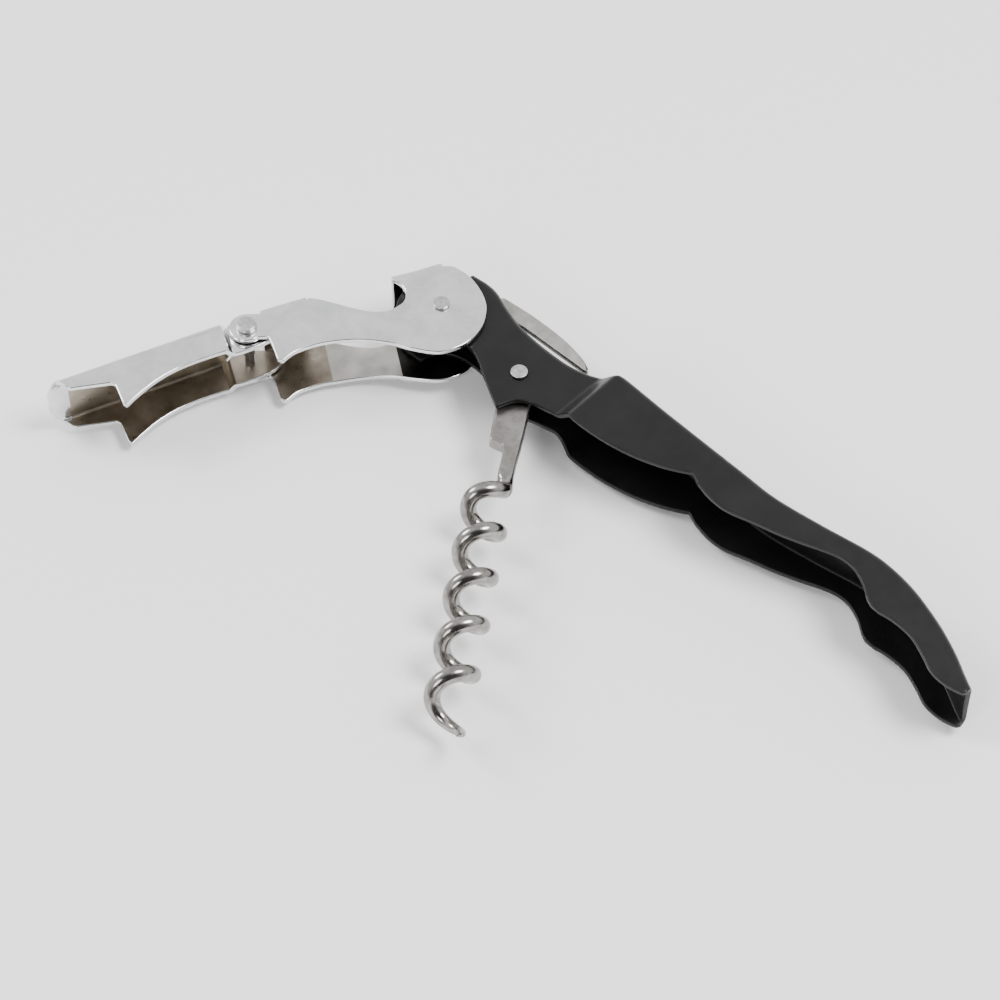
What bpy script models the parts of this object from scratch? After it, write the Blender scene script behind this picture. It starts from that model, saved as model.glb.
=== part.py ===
"""Two-step lever corkscrew, lying on its flank as it is opened for use.

World frame: metres, +Z up through the thickness of the tool, +X from the lever
pivot towards the tail of the handle. The origin lies on the outside of the
handle's lower cheek, the flat flank that the tool rests on.

Every piece is drawn in millimetres about its own pivot, with z = 0 at the
middle of the tool, and is then placed at that pivot.
"""
import math

import bmesh
import bpy
from mathutils import Vector

MM = 0.001

# ---- driving dimensions, millimetres and degrees -------------------------------
HANDLE_SHEET = 0.85          # thickness of the handle's pressed steel
LEVER_SHEET = 0.85           # thickness of both levers' pressed steel
NECK_HALF_WIDTH = 2.6        # outside, where the levers straddle the handle
BODY_HALF_WIDTH = 5.3        # outside, behind the neck
TAIL_HALF_WIDTH = 4.6        # outside, at the tail
NECK_END_X = 27.3            # the cheeks start to spread here
BODY_START_X = 30.9          # and have reached full width here
BODY_TAPER_X = 50.0          # the body narrows towards the tail from here
HANDLE_END_X = 106.2

HEAD_RADIUS = 7.2            # round end of the handle, inside the upper lever

UPPER_PIVOT_HALF_WIDTH = 3.85
UPPER_STEP_HALF_WIDTH = 5.3
LIP_START_U = 4.9            # the back folds over only from here to the cap lifter's hook
LOWER_BODY_HALF_WIDTH = 5.12
LOWER_LUG_HALF_WIDTH = 4.15

BEND_RADIUS = 1.3            # outside radius of each fold
SHANK_HALF_THICKNESS = 1.15
WIRE_RADIUS = 1.28
WORM_RADIUS = 2.65           # of the wire's centre line
WORM_PITCH = 8.39
BLADE_HALF_THICKNESS = 0.6

RIVET_RADIUS = 0.95
RIVET_HOLE_RADIUS = 1.12
HINGE_RIVET_RADIUS = 0.97
HINGE_RIVET_STEP_RADIUS = 0.80

# ---- where the pieces turn, millimetres from the lever pivot --------------------
ORIGIN_FROM_PIVOT = (40.0, 2.0)
WORM_PIVOT = (17.85, -1.15)
HINGE_DISTANCE = 30.8        # lever pivot to lever hinge

UPPER_LEVER_ANGLE = -125.4   # direction of each piece in the open tool
LOWER_LEVER_ANGLE = -120.0
WORM_ANGLE = -54.9

ROUND_SEGMENTS = 24
BEND_SEGMENTS = 4
CUTTER_HALF_HEIGHT = 9.0


# ---- small geometry helpers ------------------------------------------------------
def curve_through(knots, steps=4):
    """Return points on a smooth curve through the knots."""
    ends = [knots[0]] + list(knots) + [knots[-1]]
    points = []
    for a, b, c, d in zip(ends, ends[1:], ends[2:], ends[3:]):
        for i in range(steps):
            t = i / steps
            points.append(tuple(
                0.5 * (2 * q + (r - p) * t + (2 * p - 5 * q + 4 * r - s) * t * t
                       + (3 * q - p - 3 * r + s) * t ** 3)
                for p, q, r, s in zip(a, b, c, d)))
    points.append(tuple(knots[-1]))
    return points


def value_along(knots):
    """Return a function that reads a smooth curve of (position, value) knots."""
    points = curve_through(knots, 8)

    def read(position):
        if position <= points[0][0]:
            return points[0][1]
        for (x0, y0), (x1, y1) in zip(points, points[1:]):
            if position <= x1:
                return y0 + (y1 - y0) * (position - x0) / max(x1 - x0, 1e-9)
        return points[-1][1]

    return read


def smooth_step(position, start, end):
    """Return 0 before start, 1 after end, and an S-curve between them."""
    t = min(max((position - start) / (end - start), 0.0), 1.0)
    return t * t * (3.0 - 2.0 * t)


def arc(centre, radius, start_deg, end_deg, steps):
    """Return points on an arc."""
    points = []
    for i in range(steps + 1):
        angle = math.radians(start_deg + (end_deg - start_deg) * i / steps)
        points.append((centre[0] + radius * math.cos(angle), centre[1] + radius * math.sin(angle)))
    return points


def turned(point, angle_deg):
    """Return a point turned about the origin."""
    c = math.cos(math.radians(angle_deg))
    s = math.sin(math.radians(angle_deg))
    return (c * point[0] - s * point[1], s * point[0] + c * point[1])


def new_object(name, bm, material=None, smooth_angle=None):
    """Make an object from a mesh drawn in millimetres, faces pointing out."""
    bmesh.ops.scale(bm, vec=(MM, MM, MM), verts=bm.verts)
    bmesh.ops.recalc_face_normals(bm, faces=bm.faces)
    mesh = bpy.data.meshes.new(name)
    bm.to_mesh(mesh)
    bm.free()
    if smooth_angle is not None:
        mesh.shade_smooth()
        mesh.set_sharp_from_angle(angle=math.radians(smooth_angle))
    if material is not None:
        mesh.materials.append(material)
    obj = bpy.data.objects.new(name, mesh)
    bpy.context.scene.collection.objects.link(obj)
    return obj


def bridge_rings(bm, rings, close=False):
    """Join rings of vertices with quads, and cap the first and last ring."""
    count = len(rings[0])
    pairs = list(zip(rings, rings[1:]))
    if close:
        pairs.append((rings[-1], rings[0]))
    for lower, upper in pairs:
        for i in range(count):
            j = (i + 1) % count
            bm.faces.new((lower[i], lower[j], upper[j], upper[i]))
    if not close:
        bm.faces.new(rings[0])
        bm.faces.new(list(reversed(rings[-1])))


def plate_mesh(outline, low_z, high_z):
    """Return a plate: an outline in the XY plane, extruded in Z."""
    bm = bmesh.new()
    rings = [[bm.verts.new((x, y, z)) for x, y in outline] for z in (low_z, high_z)]
    bridge_rings(bm, rings)
    return bm


def turned_mesh(profile, segments=ROUND_SEGMENTS, closed=False):
    """Return a turned shape from (radius, z) points; a closed profile makes a ring."""
    bm = bmesh.new()
    rings = []
    for radius, z in profile:
        rings.append([bm.verts.new((radius * math.cos(2 * math.pi * i / segments),
                                    radius * math.sin(2 * math.pi * i / segments), z))
                      for i in range(segments)])
    bridge_rings(bm, rings, close=closed)
    return bm


def channel_section(half_width, sheet):
    """Return a folded channel's section as (z, depth) points; depth 0 is its back."""
    reach = 24.0
    inner_radius = BEND_RADIUS - sheet
    flat = half_width - BEND_RADIUS
    outer = [(half_width, reach)]
    outer += arc((flat, BEND_RADIUS), BEND_RADIUS, 0, -90, BEND_SEGMENTS)
    outer += arc((-flat, BEND_RADIUS), BEND_RADIUS, -90, -180, BEND_SEGMENTS)
    outer += [(-half_width, reach)]
    inner = [(-half_width + sheet, reach)]
    inner += arc((-flat, BEND_RADIUS), inner_radius, -180, -90, BEND_SEGMENTS)
    inner += arc((flat, BEND_RADIUS), inner_radius, -90, 0, BEND_SEGMENTS)
    inner += [(half_width - sheet, reach)]
    return outer + inner


def channel_mesh(stations, half_width_at, back_at, sheet, open_side):
    """Return a folded channel along X that opens towards open_side along Y."""
    bm = bmesh.new()
    rings = []
    for x in stations:
        section = channel_section(half_width_at(x), sheet)
        rings.append([bm.verts.new((x, back_at(x) + open_side * depth, z)) for z, depth in section])
    bridge_rings(bm, rings)
    return bm


def cut(target, bm, name, operation='DIFFERENCE'):
    """Cut the target with a mesh that stays in the file as a hidden guide."""
    cutter = new_object(name, bm)
    cutter.hide_render = True
    cutter.display_type = 'WIRE'
    cutter.parent = target
    modifier = target.modifiers.new(name, 'BOOLEAN')
    modifier.operation = operation
    modifier.object = cutter
    modifier.solver = 'EXACT'


def rivet_hole(target, centre, name, radius=RIVET_HOLE_RADIUS):
    """Cut a round hole through the target, along Z."""
    hole = arc(centre, radius, 0, 360, ROUND_SEGMENTS)[:-1]
    cut(target, plate_mesh(hole, -CUTTER_HALF_HEIGHT, CUTTER_HALF_HEIGHT), name)


def material(name, colour, roughness, metallic):
    """Return a plain material."""
    mat = bpy.data.materials.new(name)
    mat.use_nodes = True
    shader = mat.node_tree.nodes["Principled BSDF"]
    shader.inputs["Base Color"].default_value = (*colour, 1.0)
    shader.inputs["Roughness"].default_value = roughness
    shader.inputs["Metallic"].default_value = metallic
    return mat


def place(obj, pivot, angle_deg=0.0):
    """Put a piece at its pivot, given from the lever pivot, turned about Z."""
    obj.location = Vector((pivot[0] - ORIGIN_FROM_PIVOT[0], pivot[1] - ORIGIN_FROM_PIVOT[1],
                           BODY_HALF_WIDTH)) * MM
    obj.rotation_euler = (0.0, 0.0, math.radians(angle_deg))


# ---- the handle -------------------------------------------------------------------
HANDLE_BACK = [(-9.0, 9.2), (-2.0, 9.25), (1.2, 9.45), (3.7, 9.1), (7.0, 7.8), (10.2, 6.75), (12.9, 6.2),
               (17.4, 5.8), (21.6, 5.8), (25.2, 6.4), (27.9, 7.45), (29.7, 7.75), (31.2, 8.1),
               (33.5, 8.0), (40.1, 7.5), (48.7, 7.0), (57.0, 6.6), (63.6, 6.35), (71.7, 7.2),
               (79.8, 8.35), (84.5, 8.3), (89.6, 7.35), (95.7, 5.2), (100.5, 2.85), (103.9, 0.75),
               (HANDLE_END_X, -0.6)]


def handle_half_width(x):
    """Return the handle's outside half width: neck, shoulder, and a slowly tapering body."""
    spread = smooth_step(x, NECK_END_X, BODY_START_X)
    taper = (TAIL_HALF_WIDTH - BODY_HALF_WIDTH) * max(x - BODY_TAPER_X, 0.0) / (HANDLE_END_X - BODY_TAPER_X)
    return NECK_HALF_WIDTH + (BODY_HALF_WIDTH - NECK_HALF_WIDTH) * spread + taper


def handle_outline():
    """Return the side view of the cheeks, with the finger grooves along their lower edge."""
    above = 11.0
    head = arc((0.0, 0.0), HEAD_RADIUS, 118, 264, 16)
    ear = [(2.4, -7.2), (3.1, -4.4), (5.6, -2.7), (11.3, -3.6), (15.5, -6.1), (19.8, -8.5)]
    arch = curve_through([(20.4, -7.0), (21.3, -5.3), (23.0, -4.2), (25.7, -3.6), (28.3, -3.2),
                          (31.5, -3.75), (35.5, -3.8), (39.5, -3.45), (43.5, -2.65), (47.2, -1.45),
                          (51.6, 0.8)])
    groove = curve_through([(53.8, -0.25), (56.8, -0.95), (60.1, -0.95), (64.1, 0.1), (68.3, 1.1),
                            (72.1, 2.3), (75.5, 3.5), (78.0, 4.1), (80.4, 3.9), (83.2, 2.6), (86.4, 0.3)])
    tail = curve_through([(87.4, 0.15), (90.6, 0.5), (94.0, 0.2), (97.2, -1.2), (100.0, -2.65), (102.6, -2.95),
                          (104.8, -2.4), (HANDLE_END_X + 0.5, -1.6)])
    return [(-1.6, above), (-2.5, 7.6)] + head + ear + arch + groove + tail + [(HANDLE_END_X + 0.5, above)]


def handle_stations():
    """Return section positions, closer together where the cheeks spread."""
    neck = [-9.0 + 1.65 * i for i in range(22)]
    shoulder = [NECK_END_X + 0.36 * i for i in range(11)]
    body = [33.0 + 2.4 * i for i in range(31)]
    return neck + shoulder + body + [HANDLE_END_X]


def build_handle(paint):
    """Build the painted channel that carries every other piece."""
    bm = channel_mesh(handle_stations(), handle_half_width, value_along(HANDLE_BACK), HANDLE_SHEET, -1)
    handle = new_object("handle", bm, paint, 35)
    outline = plate_mesh(handle_outline(), -CUTTER_HALF_HEIGHT, CUTTER_HALF_HEIGHT)
    cut(handle, outline, "handle_outline_guide", 'INTERSECT')
    trim = [(8.6, -12.0), (8.6, -2.1), (12.2, -2.6), (16.3, -4.95), (19.6, -6.9), (20.6, -12.0)]
    cut(handle, plate_mesh(trim, -CUTTER_HALF_HEIGHT, -1.0), "handle_lower_cheek_guide")
    slot_half_width = 1.15
    slot = [(-10.0, 4.0), (23.8, 4.0), (25.6, 5.2), (25.6, 11.5), (-10.0, 11.5)]
    cut(handle, plate_mesh(slot, -slot_half_width, slot_half_width), "knife_slot_guide")
    rivet_hole(handle, (0.0, 0.0), "handle_lever_hole")
    rivet_hole(handle, WORM_PIVOT, "handle_worm_hole")
    place(handle, (0.0, 0.0))
    return handle


# ---- the two levers ----------------------------------------------------------------
def upper_half_width(u):
    """Return the upper lever's half width: narrow on the neck, wide at the step."""
    spread = smooth_step(u, 1.5, 18.5)
    return UPPER_PIVOT_HALF_WIDTH + (UPPER_STEP_HALF_WIDTH - UPPER_PIVOT_HALF_WIDTH) * spread


def upper_fold_line(u):
    """Return the straight fold between the lever's back and its cheeks."""
    return -9.0 + 0.1885 * u


def upper_outline():
    """Return the upper lever's side view, with cap lifter, step tooth and hinge lug."""
    pivot_end = curve_through([(-1.1, -9.5), (-3.4, -7.6), (-5.3, -5.3), (-6.5, -2.3), (-6.95, 0.9),
                               (-6.4, 3.6), (-5.1, 6.1), (-2.5, 8.5), (0.6, 9.5), (3.0, 9.35),
                               (6.4, 8.1), (9.3, 6.75), (13.4, 5.75), (17.8, 5.45), (20.9, 5.6),
                               (24.1, 6.4), (26.3, 7.95)], 3)
    tooth = [(27.1, 7.35), (27.5, 4.1), (27.9, 2.45)]
    lug = arc((HINGE_DISTANCE, 0.0), 2.78, 120, -62, 10)
    back = [(30.9, -2.9), (30.0, -5.0), (21.2, -7.0), (20.7, -4.55)]
    lifter_edge = curve_through([(18.6, -3.5), (16.0, -2.1), (13.4, -0.8), (11.0, 0.05), (8.7, 0.15)])
    notch = curve_through([(7.4, -0.35), (5.7, -1.6), (5.05, -3.3), (5.35, -5.0), (6.3, -6.35)])
    hook = [(7.0, -6.95), (6.95, -7.6), (6.5, -9.5), (0.0, -11.0)]
    return pivot_end + tooth + lug + back + lifter_edge + notch + hook


def build_upper_lever(plating):
    """Build the first lever: a plated channel with the cap lifter cut through its back."""
    stations = [-8.0, -1.5] + [1.5 + 1.7 * i for i in range(11)] + [24.0, 34.5]
    bm = channel_mesh(stations, upper_half_width, upper_fold_line, LEVER_SHEET, 1)
    lever = new_object("upper_lever", bm, plating, 35)
    cut(lever, plate_mesh(upper_outline(), -CUTTER_HALF_HEIGHT, CUTTER_HALF_HEIGHT),
        "upper_lever_outline_guide", 'INTERSECT')
    hinge_gap = [(28.3, -6.0), (36.0, -6.0), (36.0, -1.0), (28.3, -1.0)]
    gap_half_width = LOWER_LUG_HALF_WIDTH + 0.17
    cut(lever, plate_mesh(hinge_gap, -gap_half_width, gap_half_width), "upper_lever_gap_guide")
    neck_gap = [(-9.0, -12.0), (LIP_START_U, -12.0), (LIP_START_U, -5.0), (-9.0, -5.0)]
    neck_gap_half_width = UPPER_PIVOT_HALF_WIDTH - LEVER_SHEET - 0.04
    cut(lever, plate_mesh(neck_gap, -neck_gap_half_width, neck_gap_half_width), "upper_lever_neck_guide")
    rivet_hole(lever, (0.0, 0.0), "upper_lever_pivot_hole")
    rivet_hole(lever, (HINGE_DISTANCE, 0.0), "upper_lever_hinge_hole")
    place(lever, (0.0, 0.0), UPPER_LEVER_ANGLE)
    return lever


def lower_half_width(u):
    """Return the lower lever's half width: its lugs nest inside the upper lever."""
    spread = smooth_step(u, 2.9, 4.0)
    return LOWER_LUG_HALF_WIDTH + (LOWER_BODY_HALF_WIDTH - LOWER_LUG_HALF_WIDTH) * spread


def lower_fold_line(u):
    """Return the straight fold between the lever's back and its cheeks."""
    return -3.15 + 0.151 * u


def lower_outline():
    """Return the lower lever's side view, with the second step tooth."""
    lug_tail = curve_through([(-5.5, 0.35), (-4.5, 1.75), (-2.9, 2.7), (-0.6, 3.35), (2.0, 3.75),
                              (5.0, 3.75), (9.6, 4.4), (12.9, 5.2), (16.1, 6.55), (19.2, 8.45),
                              (21.2, 9.95)], 3)
    tooth = [(21.75, 9.3), (22.1, 5.3), (22.5, 4.8), (29.2, 4.1), (30.35, 2.35)]
    back = [(33.2, 2.35), (33.2, -1.9), (3.2, -4.6), (2.9, -2.5)]
    lug_back = curve_through([(1.6, -2.6), (0.0, -2.6), (-2.3, -2.15), (-4.2, -1.25), (-5.5, 0.0)], 3)
    return lug_tail + tooth + back + lug_back[:-1]


def build_lower_lever(plating):
    """Build the second lever: a plated channel ending in a rounded tongue."""
    stations = [-8.0, 0.3] + [2.9 + 0.22 * i for i in range(6)] + [8.0, 20.0, 33.5]
    bm = channel_mesh(stations, lower_half_width, lower_fold_line, LEVER_SHEET, 1)
    lever = new_object("lower_lever", bm, plating, 35)
    cut(lever, plate_mesh(lower_outline(), -CUTTER_HALF_HEIGHT, CUTTER_HALF_HEIGHT),
        "lower_lever_outline_guide", 'INTERSECT')
    tongue_reach = 32.6
    tongue_radius = 6.9
    rounding = arc((tongue_reach - tongue_radius, 0.0), tongue_radius, 50, -50, 12)
    rounding += [(36.0, -8.0), (36.0, 8.0)]
    rotated = bmesh.new()
    rings = [[rotated.verts.new((u, y, z)) for u, z in rounding] for y in (-12.0, 14.0)]
    bridge_rings(rotated, rings)
    cut(lever, rotated, "tongue_guide")
    rivet_hole(lever, (0.0, 0.0), "lower_lever_hinge_hole")
    hinge = turned((HINGE_DISTANCE, 0.0), UPPER_LEVER_ANGLE)
    place(lever, hinge, LOWER_LEVER_ANGLE)
    return lever


# ---- worm and knife -------------------------------------------------------------------
WORM_AXIS_Y = -1.53          # the spiral's axis, beside the line from its pivot
SHANK_LINE_Y = 0.62          # the wire's centre where it leaves the shank
FIRST_TURN_X = 25.07         # where the wire is first at its lowest Y
SPIRAL_TURNS = 4.61          # from there to the point
LEAD_TURNS = 0.72            # from the shank to there
PITCH_GROWTH = 0.086         # the turns open up towards the point
POINT_STRETCH = 4.2          # and more so over the last part
POINT_STRETCH_START = 3.93


def spiral_centre(turn):
    """Return the spiral's centre line; turn is counted from the first lowest Y."""
    angle = 2 * math.pi * turn
    x = FIRST_TURN_X + WORM_PITCH * turn + PITCH_GROWTH * turn * turn
    x += POINT_STRETCH * max(turn - POINT_STRETCH_START, 0.0) ** 2
    return Vector((x, WORM_AXIS_Y - WORM_RADIUS * math.cos(angle), -WORM_RADIUS * math.sin(angle)))


def wire_centre(turn):
    """Return the wire's centre: straight out of the shank, then round the spiral."""
    straight = Vector((FIRST_TURN_X + WORM_PITCH * turn, SHANK_LINE_Y, 0.0))
    return straight.lerp(spiral_centre(turn), smooth_step(turn, -0.66, -0.10))


def wire_radius(turn):
    """Return the wire's radius, drawn out to a point over the last part of a turn."""
    taper_turns = 0.62
    t = min(max((SPIRAL_TURNS - turn) / taper_turns, 0.0), 1.0)
    return 0.12 + (WIRE_RADIUS - 0.12) * t ** 0.6


def wire_mesh(steps_per_turn=18, sides=10):
    """Return the spiral as a tube with closed ends."""
    length = SPIRAL_TURNS + LEAD_TURNS
    count = round(length * steps_per_turn)
    bm = bmesh.new()
    rings = []
    for i in range(count + 1):
        turn = length * i / count - LEAD_TURNS
        centre = wire_centre(turn)
        along = (wire_centre(turn + 0.001) - wire_centre(turn - 0.001)).normalized()
        inwards = (Vector((centre.x, WORM_AXIS_Y, 0.0)) - centre).normalized()
        side = Vector((0.0, -1.0, 0.0)).lerp(inwards, smooth_step(turn, -0.6, -0.25))
        up = along.cross(side).normalized()
        side = up.cross(along)
        radius = wire_radius(turn)
        rings.append([bm.verts.new(centre + radius * (math.cos(a) * side + math.sin(a) * up))
                      for a in (2 * math.pi * k / sides for k in range(sides))])
    bridge_rings(bm, rings)
    return bm


def shank_outline():
    """Return the worm's flat shank, with the hook that rests on a bottle's rim."""
    eye = arc((0.0, 0.0), 2.75, 255, 105, 12)
    right = curve_through([(3.0, 2.5), (6.2, 2.35), (10.0, 2.2), (13.2, 2.02), (16.4, 1.8), (19.4, 1.7)], 3)
    left = [(19.4, -0.5), (15.8, -0.5), (13.2, -0.75), (13.0, -1.15), (12.5, -2.85), (5.6, -2.85)]
    return eye + right + left


def build_worm(steel):
    """Build the worm: one wire, flattened into a shank and wound into a right-handed spiral."""
    worm = new_object("worm", plate_mesh(shank_outline(), -SHANK_HALF_THICKNESS, SHANK_HALF_THICKNESS),
                      steel, 35)
    cut(worm, wire_mesh(), "worm_wire_guide", 'UNION')
    rivet_hole(worm, (0.0, 0.0), "worm_hole")
    place(worm, WORM_PIVOT, WORM_ANGLE)
    return worm


def knife_outline():
    """Return the foil knife: a round tang at the pivot and a blade along the handle's back."""
    tang = arc((0.0, 0.0), 3.1, 100, 320, 14)
    edge = curve_through([(4.3, 0.2), (5.4, 3.0), (6.9, 5.6), (8.6, 7.2), (10.6, 7.6)], 3)
    edge += [(16.0, 7.55), (23.2, 7.45)]
    back = curve_through([(24.2, 7.8), (23.6, 8.35), (22.0, 9.05), (19.0, 9.75), (15.3, 10.15),
                          (11.0, 10.25), (7.5, 10.15), (4.1, 9.85), (3.1, 7.5), (1.0, 4.6)], 3)
    return tang + edge + back


def build_knife(steel):
    """Build the foil knife, folded along the back of the neck."""
    knife = new_object("foil_knife", plate_mesh(knife_outline(), -BLADE_HALF_THICKNESS, BLADE_HALF_THICKNESS),
                       steel, 35)
    rivet_hole(knife, (0.0, 0.0), "knife_hole")
    place(knife, (0.0, 0.0))
    return knife


# ---- rivets and washers ---------------------------------------------------------------
def head_profile(seat, radius, height, shank):
    """Return one rivet head's (radius, z) points from its shank to its flat top."""
    rounding = 0.38 * height
    profile = [(shank, seat), (radius, seat), (radius, seat + height - rounding)]
    profile += [(radius - rounding + x, seat + height - rounding + y)
                for x, y in arc((0.0, 0.0), rounding, 30, 90, 2)]
    return profile


def build_rivet(name, steel, seat, head_radius, head_height, pivot, steps):
    """Build a rivet through the whole tool; steps are the shank's (radius, z), bottom to top."""
    low = [(r, -z) for r, z in reversed(head_profile(seat, head_radius, head_height, steps[0][0]))]
    high = head_profile(seat, head_radius, head_height, steps[-1][0])
    rivet = new_object(name, turned_mesh(low + list(steps) + high), steel, 35)
    place(rivet, pivot)
    return rivet


def build_washer(name, steel, pivot, outer_radius, low_z, high_z):
    """Build a flat washer on a rivet."""
    profile = [(RIVET_HOLE_RADIUS, low_z), (outer_radius, low_z), (outer_radius, high_z),
               (RIVET_HOLE_RADIUS, high_z)]
    washer = new_object(name, turned_mesh(profile, closed=True), steel, 35)
    place(washer, pivot)
    return washer


def build_rivets(steel):
    """Build the three rivets that the tool turns on."""
    plain = [(RIVET_RADIUS, 0.0)]
    build_rivet("lever_rivet", steel, UPPER_PIVOT_HALF_WIDTH + 0.1, 1.32, 0.55, (0.0, 0.0), plain)
    build_rivet("worm_rivet", steel, NECK_HALF_WIDTH + 0.1, 1.36, 0.6, WORM_PIVOT, plain)
    hinge = turned((HINGE_DISTANCE, 0.0), UPPER_LEVER_ANGLE)
    stepped = [(HINGE_RIVET_STEP_RADIUS, -0.9), (HINGE_RIVET_RADIUS, -0.7)]
    build_rivet("hinge_rivet", steel, UPPER_STEP_HALF_WIDTH + 0.1, 1.62, 0.85, hinge, stepped)


def build_washers(steel):
    """Build the washers that centre the knife and the worm between the neck's cheeks."""
    cheek = NECK_HALF_WIDTH - HANDLE_SHEET
    gap = 0.15
    for pivot, name, radius, half in (((0.0, 0.0), "knife_washer", 2.4, BLADE_HALF_THICKNESS),
                                      (WORM_PIVOT, "worm_washer", 2.2, SHANK_HALF_THICKNESS)):
        build_washer(name + "_top", steel, pivot, radius, half + gap, cheek - gap)
        build_washer(name + "_bottom", steel, pivot, radius, gap - cheek, -half - gap)


def clear_scene():
    """Remove every object that the file starts with."""
    for obj in list(bpy.data.objects):
        bpy.data.objects.remove(obj, do_unlink=True)


def main():
    """Build the whole corkscrew."""
    clear_scene()
    paint = material("black_paint", (0.012, 0.012, 0.014), 0.22, 0.0)
    plating = material("bright_plating", (0.80, 0.80, 0.79), 0.14, 1.0)
    steel = material("worm_steel", (0.55, 0.54, 0.52), 0.24, 1.0)
    blade = material("blade_steel", (0.66, 0.64, 0.61), 0.34, 1.0)
    rivet = material("rivet_steel", (0.62, 0.62, 0.62), 0.38, 1.0)
    build_handle(paint)
    build_upper_lever(plating)
    build_lower_lever(plating)
    build_worm(steel)
    build_knife(blade)
    build_rivets(rivet)
    build_washers(rivet)


main()
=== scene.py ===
"""Looks of the folding two-step lever corkscrew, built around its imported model.

Pieces are modelled in millimetres about their own pivot, with z = 0 at the
middle of the tool, and are then put at their place in metres.
"""
import logging
import math
from dataclasses import dataclass
from enum import Enum
from typing import Callable, Sequence

import bpy
from mathutils import Matrix, Vector


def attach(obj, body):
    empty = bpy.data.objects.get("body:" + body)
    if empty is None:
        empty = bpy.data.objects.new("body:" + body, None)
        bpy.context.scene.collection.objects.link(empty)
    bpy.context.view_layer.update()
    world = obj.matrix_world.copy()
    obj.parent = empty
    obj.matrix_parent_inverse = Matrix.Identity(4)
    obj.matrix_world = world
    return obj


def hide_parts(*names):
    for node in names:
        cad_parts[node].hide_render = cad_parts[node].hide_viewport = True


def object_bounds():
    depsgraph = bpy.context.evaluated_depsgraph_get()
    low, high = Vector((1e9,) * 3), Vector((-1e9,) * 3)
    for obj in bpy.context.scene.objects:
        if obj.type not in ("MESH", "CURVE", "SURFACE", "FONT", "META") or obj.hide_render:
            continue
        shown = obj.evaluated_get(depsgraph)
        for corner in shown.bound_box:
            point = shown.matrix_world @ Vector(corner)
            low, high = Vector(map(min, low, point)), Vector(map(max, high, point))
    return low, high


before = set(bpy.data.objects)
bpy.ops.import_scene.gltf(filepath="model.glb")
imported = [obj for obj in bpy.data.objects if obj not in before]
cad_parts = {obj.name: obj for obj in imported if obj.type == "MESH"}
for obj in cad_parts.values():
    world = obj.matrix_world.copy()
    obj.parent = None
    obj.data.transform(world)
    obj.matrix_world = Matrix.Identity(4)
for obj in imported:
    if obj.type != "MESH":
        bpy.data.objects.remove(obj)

CAD_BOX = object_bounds()
LOG = logging.getLogger("corkscrew")

MM = 0.001
Point = tuple[float, float]
Point3 = tuple[float, float, float]

FINE_MERGE = 0.004          # how close vertices are before they count as one
COARSE_MERGE = 0.02
SHARP_CORNER = 25.0         # outline corners beyond this are rounded, in degrees
CORNER_STEP = 24.0          # the turn of each piece of a rounding, in degrees
WIDEST_BEND = 2.3           # corners beyond this are rounded as if they were this sharp
LEAST_REACH = 0.2
EDGE_SHARE = 0.47           # how much of an outline edge one rounding may take
PULL_SHARE = 0.45           # how much of a face one rim may take
SHARPEST_TURN = 0.6
RIM_CUTS = 7
BEND_STEPS = 6
KEPT_BEND = 0.75            # how much of the bends is kept where a lever has no back
KNIFE_SLOT = 1.15           # half the width of the slot beside the knife


class Body(Enum):
    """The rigid bodies that the pieces ride on."""

    HANDLE = "handle_body"
    FIRST_LEVER = "first_lever_body"
    SECOND_LEVER = "second_lever_body"
    WORM = "worm_body"
    KNIFE = "knife_body"


class Slot(Enum):
    """The record's material slots."""

    PAINT = "black_paint"
    PLATING = "bright_plating"
    WORM = "worm_steel"
    BLADE = "blade_steel"
    RIVET = "rivet_steel"


@dataclass(frozen=True)
class Layout:
    """Where each piece turns, in millimetres and degrees from the lever pivot."""

    origin: Point = (40.0, 2.0)
    mid_height: float = 5.3
    worm_pivot: Point = (17.85, -1.15)
    hinge_distance: float = 30.8
    upper_angle: float = -125.4
    lower_angle: float = -120.0
    worm_angle: float = -54.9

    def hinge(self) -> Point:
        """Return the lever hinge's place."""
        angle = math.radians(self.upper_angle)
        return (self.hinge_distance * math.cos(angle), self.hinge_distance * math.sin(angle))

    def matrix(self, pivot: Point, angle: float = 0.0) -> Matrix:
        """Return the matrix from a piece's own millimetres to the tool's metres.

        Args:
            pivot: The piece's pivot, from the lever pivot.
            angle: The piece's direction in degrees.

        Returns:
            The 4x4 matrix.
        """
        place = Vector((pivot[0] - self.origin[0], pivot[1] - self.origin[1], self.mid_height))
        return (Matrix.Scale(MM, 4) @ Matrix.Translation(place)
                @ Matrix.Rotation(math.radians(angle), 4, 'Z'))


LAYOUT = Layout()


# ---- curves -------------------------------------------------------------------------
def curve_through(knots: Sequence[Sequence[float]], steps: int = 6) -> list[Point]:
    """Return points on a smooth curve through the knots.

    Args:
        knots: The points to pass through.
        steps: The number of pieces between two knots.

    Returns:
        The points, from the first knot to the last.
    """
    ends = [knots[0]] + list(knots) + [knots[-1]]
    points = []
    for a, b, c, d in zip(ends, ends[1:], ends[2:], ends[3:]):
        for i in range(steps):
            t = i / steps
            points.append(tuple(
                0.5 * (2 * q + (r - p) * t + (2 * p - 5 * q + 4 * r - s) * t * t
                       + (3 * q - p - 3 * r + s) * t ** 3)
                for p, q, r, s in zip(a, b, c, d)))
    points.append(tuple(knots[-1]))
    return points


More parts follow.
